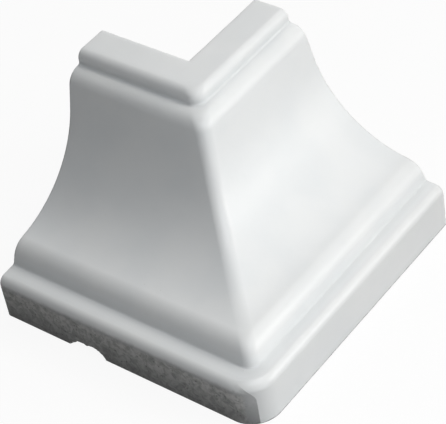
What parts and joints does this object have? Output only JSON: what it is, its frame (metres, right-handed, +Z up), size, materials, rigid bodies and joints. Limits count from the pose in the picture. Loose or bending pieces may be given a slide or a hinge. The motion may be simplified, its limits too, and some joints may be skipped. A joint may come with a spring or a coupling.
{
  "type": "outside corner moulding",
  "caption": "Glazed corner piece that turns a coved moulding round an outside wall corner: small cap, groove, deep cove and stepped plinth, cut square at its ends.",
  "frame": {"origin": "middle of the square that bounds the footprint, on the flat base", "axes": "+Z up along the wall corner, +X towards the cut end of one arm, +Y towards the cut end of the other; the cove faces -X and -Y"},
  "size_m": [0.0746, 0.0738, 0.05],
  "materials": {
    "white_glaze": "gloss"
  },
  "bodies": {
    "root": {"corner_moulding": "white_glaze"}
  },
  "joints": []
}
